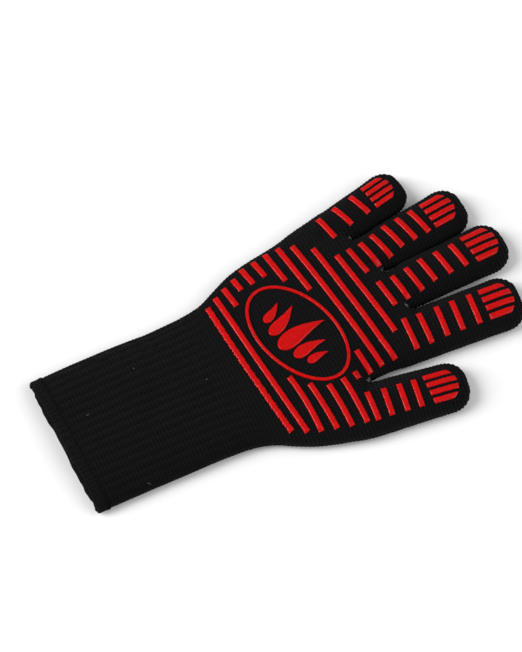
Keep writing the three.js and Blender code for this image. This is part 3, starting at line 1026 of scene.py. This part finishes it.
def raised(ground, paths, ends, closed=False):
    """Points and faces of silicone raised on the knit, one path for each point of its section."""
    rows = []
    for plan, (_, lift) in zip(paths, PRINT_PROFILE):
        low = ground.height(plan)
        here = np.column_stack([plan, low])
        stitch = stitch_height(knit_of(here, *finger_share(here)))
        top = lift * PRINT_RISE
        if lift > 0:
            top = top * ends + PRINT_ON_STITCH * stitch
        rows.append(np.column_stack([plan, low + STITCH_DEPTH / 2 + top]))
    points = np.stack(rows, axis=1).reshape(-1, 3)
    count, stations = len(PRINT_PROFILE), len(paths[0])
    faces = []
    for s in range(stations if closed else stations - 1):
        a, b = s * count, (s + 1) % stations * count
        faces += [(a + k, b + k, b + (k + 1) % count, a + (k + 1) % count) for k in range(count)]
    if not closed:
        faces += [tuple(range(count - 1, -1, -1)), tuple(range(len(points) - count, len(points)))]
    return points, faces


def add_print(name, shapes, material, part, *nodes):
    """One piece of silicone from one or more strokes, and the CAD nodes it stands for."""
    piece = finished(mesh_from(name, *joined(shapes)), material, part)
    if nodes:
        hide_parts(*nodes)


def add_palm_print(ground, material):
    """The bars across the palm and at the fingers' roots."""
    for name, places in PALM_BARS.items():
        rough = FIRST_BAR_WAVE if name == "01" else PALM_WAVE
        bar = stroke(ground, curve_through(*places), BAR_WIDTH, rough)
        add_print(f"palm_print_{name}", [bar], material, "palm", f"palm_bar_{name}")
    for name, (start, end) in SMALL_BARS.items():
        bar = stroke(ground, straight(start, end), BAR_WIDTH)
        add_print(f"palm_print_{name}", [bar], material, "palm")


def in_oval(across, along):
    """Places in plan from places across and along the flames in the oval."""
    c, s = math.cos(math.radians(OVAL_TURN)), math.sin(math.radians(OVAL_TURN))
    return np.column_stack([
        OVAL_CENTRE[0] + along * s + across * c,
        OVAL_CENTRE[1] - along * c + across * s,
    ])


def add_oval(ground, material):
    """The oval ring on the palm."""
    angle = np.arange(OVAL_POINTS) / OVAL_POINTS * 2 * math.pi
    line = in_oval(OVAL_HALF[0] * np.cos(angle), -OVAL_HALF[1] * np.sin(angle))
    ring = stroke(ground, line, OVAL_WIDTH, OVAL_WAVE, closed=True)
    add_print("palm_oval_print", [ring], material, "palm", "palm_oval_ring")


def add_flames(ground, material):
    """A row of plain flame tongues inside the oval, pointing to the fingers."""
    tongues = []
    out, back = FLAME_SWAY
    t = np.linspace(0, 1, FLAME_POINTS) ** FLAME_BUNCH
    for side, start, length, widest, lean in FLAME_TONGUES:
        sway = side + lean * (out * t**2 - back * t)
        width = widest * np.sin(math.pi * t**FLAME_BELLY) + FLAME_END
        tongues.append(stroke(ground, in_oval(sway, start + t * length), width))
    add_print("palm_flame_print", tongues, material, "palm")


def add_finger_print(ground, material):
    """The bars and the ribbed pad of each finger."""
    for name, finger in FINGERS.items():
        for number, distance in enumerate(finger["bars"], 1):
            bar = stroke(ground, straight(*bar_ends(finger, distance)), BAR_WIDTH)
            piece_name, node = f"{name}_print_{number}", f"{name}_bar_{number}"
            add_print(piece_name, [bar], material, f"{name}_lower", node)
        ribs = pad_ribs(ground, finger)
        add_print(f"{name}_pad_print", ribs, material, f"{name}_upper", f"{name}_tip_pad")


def bar_ends(finger, distance):
    """Ends of a bar across a finger, turned by its bar angle."""
    turn = math.radians(finger["bar_angle"])
    reach, middle = finger["bar_half"], finger["print_left"]
    return [
        on_finger(finger, distance - side * reach * math.sin(turn), middle + side * reach * math.cos(turn))
        for side in (1, -1)
    ]


def rib_distances(finger, left, half):
    """Places along one line of a pad's rib, from its straight end to the arc at the fingertip."""
    start, end = finger["pad"]
    slant = math.tan(math.radians(finger["pad_angle"]))
    arc = math.sqrt(max(0, 1 - (left / (half + 1)) ** 2))
    last = end - (end - start) * PAD_ARC * (1 - arc)
    return np.linspace(start - left * slant, last, PAD_POINTS)


def pad_ribs(ground, finger):
    """Ribs along the fingertip, cut off straight towards the hand and in an arc at the tip."""
    start, end = finger["pad"]
    half = half_width(finger, (start + end) / 2) * PAD_FILL
    width = 2 * half / (PAD_RIBS + (PAD_RIBS - 1) * PAD_GAP)
    ends = end_height(np.linspace(0, end - start, PAD_POINTS))
    ribs = []
    for number in range(PAD_RIBS):
        middle = half - width / 2 - number * width * (1 + PAD_GAP)
        paths = []
        for share, _ in PRINT_PROFILE:
            left = middle + share * width / 2
            distances = rib_distances(finger, left, half)
            wave = PALM_WAVE * share * wave_at(distances, number * 2 + start)
            lefts = finger["print_left"] + left + wave
            paths.append(np.array([on_finger(finger, *place) for place in zip(distances, lefts)]))
        ribs.append(raised(ground, paths, ends))
    return ribs


# ---------- thread ends and lint

def thread(points, radius, sides=6):
    """A thin tube along points."""
    step = np.gradient(points, axis=0)
    step /= np.linalg.norm(step, axis=1)[:, None]
    across = np.cross([0, 0, 1.0], step)
    across /= np.linalg.norm(across, axis=1)[:, None] + 1e-9
    up = np.cross(step, across)
    angle = (np.arange(sides) * 2 * math.pi / sides)[:, None]
    rings = [
        point + radius * (np.cos(angle) * a + np.sin(angle) * u) for point, a, u in zip(points, across, up)
    ]
    return np.vstack(rings), skin(rings)


def loop_on_knit(ground, centre, size, turn):
    """A small arch of yarn on the knit."""
    t = np.linspace(-1, 1, 9)
    heading = np.array([math.cos(turn), math.sin(turn)])
    bow = (t**2)[:, None] * size * THREAD_BOW * heading[::-1]
    plan = np.array(centre) + t[:, None] * size * heading + bow
    return np.column_stack([plan, ground.height(plan) + THREAD_LIFT * (1 - t**2) + STITCH_DEPTH / 2])


def tack(ground, place, turn, number):
    """Strands of a bar tack, side by side and a little uneven."""
    heading = np.array([math.cos(math.radians(turn)), math.sin(math.radians(turn))])
    aside = np.array([-heading[1], heading[0]])
    strands = []
    for strand in range(TACK_STITCHES):
        off_middle = strand - TACK_STITCHES // 2
        shift = TACK_SHIFT * math.sin(strand * 2.7 + number)
        centre = np.array(place) + aside * off_middle * TACK_SPACING + heading * shift
        loop = loop_on_knit(ground, centre, 1.0, math.radians(turn + TACK_FAN * off_middle))
        strands.append(thread(loop, TACK_THREAD))
    return strands


def add_threads(ground, material):
    """Bar tacks where the fingers part, and flecks of lint on the cuff."""
    for number, (place, turn) in enumerate(CROTCHES, 1):
        add_bits(f"crotch_tack_{number}", tack(ground, place, turn, number), material, "palm")
    loops = [
        loop_on_knit(ground, place, size, number * 2.4) for number, (place, size) in enumerate(LINT)
    ]
    add_bits("lint_flecks", [thread(loop, LINT_THREAD) for loop in loops], material, "cuff")


def add_bits(name, tubes, material, part):
    """One piece made of short lengths of thread."""
    finished(mesh_from(name, *joined(tubes)), material, part)


# ---------- making

add_camera()
add_stage()

knit_black = knit_material("knit_black", BLACK_YARN_SHADE_AND_HIGHLIGHT, 1.0)
knit_hem = knit_material("knit_hem", HEM_YARN_SHADE_AND_HIGHLIGHT, 0.9)
knit_liner = knit_material("knit_liner", LINER_YARN_SHADE_AND_HIGHLIGHT, 0.4)
silicone = silicone_material()
pale_thread = thread_material()

knit_mesh, smooth, owner, knit = knit_surface()
add_outer_knit(knit_mesh, owner, knit, knit_black)
add_liner(knit_liner)
add_hem(knit_hem)
add_hem_stitches(knit_hem)
ground = Ground(smooth, quads_of(knit_mesh))
add_palm_print(ground, silicone)
add_oval(ground, silicone)
add_flames(ground, silicone)
add_finger_print(ground, silicone)
add_threads(ground, pale_thread)
